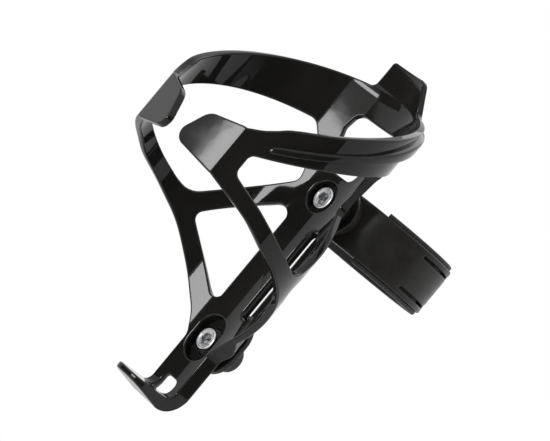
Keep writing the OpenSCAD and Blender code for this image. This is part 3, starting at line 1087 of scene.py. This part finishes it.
def gloss_plastic():
    return surface(
        "gloss_black_nylon",
        colour=(90, 4, grey(0.007, 0.05), grey(0.0105, 0.05)),
        roughness=(160, 5, grey(0.03), grey(0.06)),
        relief=[(140, 2, 0.02, 0.3), (2600, 2, 0.012, 0.03)],
        stretch=(1, 1, 0.35),
        IOR=1.5,
        Specular_IOR_Level=0.26,
    )


def satin_plastic():
    return surface(
        "satin_black_nylon",
        colour=(110, 4, grey(0.01, 0.07), grey(0.016, 0.07)),
        roughness=(300, 5, grey(0.3), grey(0.4)),
        relief=[(3200, 3, 0.1, 0.04)],
        IOR=1.48,
        Specular_IOR_Level=0.26,
    )


def matte_rubber():
    return surface(
        "matte_black_rubber",
        colour=(200, 4, grey(0.009), grey(0.016)),
        roughness=(500, 4, grey(0.58), grey(0.75)),
        relief=[(1800, 4, 0.3, 0.06)],
        IOR=1.5,
    )


def zinc_steel():
    return surface(
        "bright_zinc_steel",
        colour=(700, 4, grey(0.52, -0.01), grey(0.68, -0.01)),
        roughness=(1400, 4, grey(0.22), grey(0.36)),
        relief=[(3000, 3, 0.12, 0.03)],
        Metallic=1.0,
    )


# A darker steel for the inside of the hex socket: its darkness is painted shade in the recess.
def socket_with_painted_shade():
    return surface(
        "socket_metal_painted_shade",
        colour=(900, 4, grey(0.36, -0.02), grey(0.46, -0.02)),
        roughness=(1400, 4, grey(0.12), grey(0.2)),
        relief=[(3000, 3, 0.02, 0.02)],
        Metallic=1.0,
    )


def black_steel():
    return surface(
        "black_oxide_steel",
        colour=(600, 4, grey(0.02), grey(0.045)),
        roughness=(1200, 4, grey(0.3), grey(0.45)),
        relief=[(2800, 3, 0.15, 0.03)],
        Metallic=0.85,
    )


# The stage


# In metres and degrees
CAMERA_PLACE = Vector((-0.72854, 0.72557, -0.04055))
CAMERA_TURNS = (-42.960, 1.351, -39.742)
LENS, SENSOR = 187.79, 36.0
STAGE_MIDDLE = Vector((0.0, 0.05, -0.01))
FLOOR_HALF, FLOOR_DROP = 2.5, 0.45
AMBIENT = 0.85
PANEL_AWAY = 1.5

# Name, (angle right of the camera, angle above it, tilt), (width, height), and a lamp's power in watts
LAMPS = [("strip_box", (-39.3, 29.2, -28), (0.935, 0.25), 12), ("rim_box", (125, 25, 0), (1.3, 0.9), 6)]
CARDS = [("left_card", (-82, 31, 0), (0.95, 0.75)), ("front_card", (15.5, -9, -34), (3.05, 0.8))]


def make_board(name, size, material, height=0.0, place=Matrix()):
    """A flat rectangle of the stage, at a height in its own frame."""
    corners = [(-1, -1), (1, -1), (1, 1), (-1, 1)]
    mesh = bpy.data.meshes.new(name)
    mesh.from_pydata([(x * size[0] / 2, y * size[1] / 2, height) for x, y in corners], [], [(0, 1, 2, 3)])
    mesh.materials.append(material)
    board = bpy.data.objects.new(name, mesh)
    bpy.context.scene.collection.objects.link(board)
    board.matrix_world = place


def make_floor():
    shader = Shader("pale_floor")
    shader.to(shader.ramp(shader.noise(3, 2), grey(0.84), grey(0.86)), "Base Color")
    shader.set(Roughness=0.9)
    size = (2 * FLOOR_HALF, 2 * FLOOR_HALF)
    make_board("floor", size, shader.material, height=cad_box[0].z - FLOOR_DROP)


def make_world():
    """A white backdrop for the camera and for reflections, and a soft light from all round."""
    world = bpy.data.worlds.new("studio")
    bpy.context.scene.world = world
    world.use_nodes = True
    nodes, links = world.node_tree.nodes, world.node_tree.links
    light = nodes["Background"]
    light.inputs["Color"].default_value = grey(1.0)
    light.inputs["Strength"].default_value = AMBIENT
    white = nodes.new("ShaderNodeBackground")
    white.inputs["Color"].default_value = grey(1.0)
    white.inputs["Strength"].default_value = 1.0
    path = nodes.new("ShaderNodeLightPath")
    seen = path.outputs["Is Camera Ray"]
    for kind in ("Is Glossy Ray", "Is Transmission Ray"):
        either = nodes.new("ShaderNodeMath")
        either.operation = "MAXIMUM"
        links.new(seen, either.inputs[0])
        links.new(path.outputs[kind], either.inputs[1])
        seen = either.outputs[0]
    mix = nodes.new("ShaderNodeMixShader")
    links.new(seen, mix.inputs["Fac"])
    links.new(light.outputs["Background"], mix.inputs[1])
    links.new(white.outputs["Background"], mix.inputs[2])
    links.new(mix.outputs["Shader"], nodes["World Output"].inputs["Surface"])


def stand(aside, above, tilt):
    """Where a panel faces the cage, at angles right of the camera and above it, turned in its own plane."""
    right, up, back = camera_axes()
    aside, above, tilt = (math.radians(v) for v in (aside, above, tilt))
    outward = (right * math.sin(aside) + back * math.cos(aside)) * math.cos(above) + up * math.sin(above)
    along = up.cross(outward).normalized()
    turned = Matrix((along, outward.cross(along), outward)).transposed().to_4x4()
    return Matrix.Translation(STAGE_MIDDLE + outward * PANEL_AWAY) @ turned @ Matrix.Rotation(tilt, 4, "Z")


def make_lamp(name, place, size, power):
    """A soft box."""
    data = bpy.data.lights.new(name, "AREA")
    data.shape = "RECTANGLE"
    data.size, data.size_y = size
    data.energy = power
    lamp = bpy.data.objects.new(name, data)
    bpy.context.scene.collection.objects.link(lamp)
    lamp.matrix_world = place


def dark_felt():
    """Dark felt that only reflections show, so that a card neither hides the cage nor shades the floor."""
    shader = Shader("dark_felt")
    shader.set(Roughness=1.0, Specular_IOR_Level=0.0)
    shader.to(shader.ramp(shader.noise(40, 3), grey(0.015), grey(0.025)), "Base Color")
    nodes, links = shader.nodes, shader.links
    path = nodes.new("ShaderNodeLightPath")
    mix = nodes.new("ShaderNodeMixShader")
    links.new(path.outputs["Is Glossy Ray"], mix.inputs["Fac"])
    links.new(nodes.new("ShaderNodeBsdfTransparent").outputs["BSDF"], mix.inputs[1])
    links.new(shader.surface.outputs["BSDF"], mix.inputs[2])
    links.new(mix.outputs["Shader"], nodes["Material Output"].inputs["Surface"])
    return shader.material


def camera_axes():
    """The view's right, up and back, for a camera level with the cage and rolled to one side."""
    azimuth, elevation, roll = (math.radians(v) for v in CAMERA_TURNS)
    ahead = Vector(
        (
            math.cos(azimuth) * math.cos(elevation),
            math.sin(azimuth) * math.cos(elevation),
            math.sin(elevation),
        )
    )
    level = ahead.cross(Vector((0, 0, 1))).normalized()
    above = level.cross(ahead)
    up = above * math.cos(roll) + level * math.sin(roll)
    return ahead.cross(up), up, -ahead


def make_camera():
    """The photograph's viewpoint, through a long lens."""
    right, up, back = camera_axes()
    data = bpy.data.cameras.new("camera")
    data.sensor_width = SENSOR
    data.lens = LENS
    data.clip_start = 0.05
    camera = bpy.data.objects.new("camera", data)
    bpy.context.scene.collection.objects.link(camera)
    camera.matrix_world = Matrix.Translation(CAMERA_PLACE) @ Matrix((right, up, back)).transposed().to_4x4()
    bpy.context.scene.camera = camera


def dress(piece, node, body):
    """Lets a piece stand for a node of the part and move with its body."""
    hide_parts(node)
    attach(piece, body)


def main():
    make_camera()
    gloss, satin, rubber = gloss_plastic(), satin_plastic(), matte_rubber()
    zinc, socket, oxide = zinc_steel(), socket_with_painted_shade(), black_steel()
    low = -BOLT_SPACING
    dress(make_cage([gloss]), "cage_body", "cage")
    dress(make_jaw([satin]), "clamp_jaw", "clamp")
    dress(make_gate([satin]), "clamp_gate", "gate")
    jaw_rubber = make_liner("fixed_jaw_liner", HINGE_ANGLE + 3, TONGUE_END - 1, LIP_START, [rubber])
    dress(jaw_rubber, "jaw_liner", "clamp")
    gate_start = FINGER_END + 2 - 360
    gate_rubber = make_liner("swing_gate_liner", gate_start, HINGE_ANGLE - 7, gate_start, [rubber])
    dress(gate_rubber, "gate_liner", "gate")
    dress(make_bolt("upper_hex_bolt", 0, [zinc, socket]), "upper_bolt", "clamp")
    dress(make_bolt("lower_hex_bolt", low, [zinc, socket]), "lower_bolt", "standoff")
    dress(make_washer("upper_flat_washer", 0, [oxide]), "upper_washer", "clamp")
    dress(make_washer("lower_flat_washer", low, [oxide]), "lower_washer", "standoff")
    dress(make_upper_spacer([satin]), "upper_spacer", "clamp")
    dress(make_lower_spacer([satin]), "lower_spacer", "standoff")
    dress(make_pad([rubber]), "tube_pad", "standoff")
    for node in ("gate_pin", "upper_nut", "lower_nut"):
        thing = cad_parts[node]
        thing.data.materials.clear()
        thing.data.materials.append(zinc)

    make_floor()
    make_world()
    for name, angles, size, power in LAMPS:
        make_lamp(name, stand(*angles), size, power)
    felt = dark_felt()
    for name, angles, size in CARDS:
        make_board(name, size, felt, place=stand(*angles))
    bpy.context.scene.view_settings.view_transform = "Standard"


main()
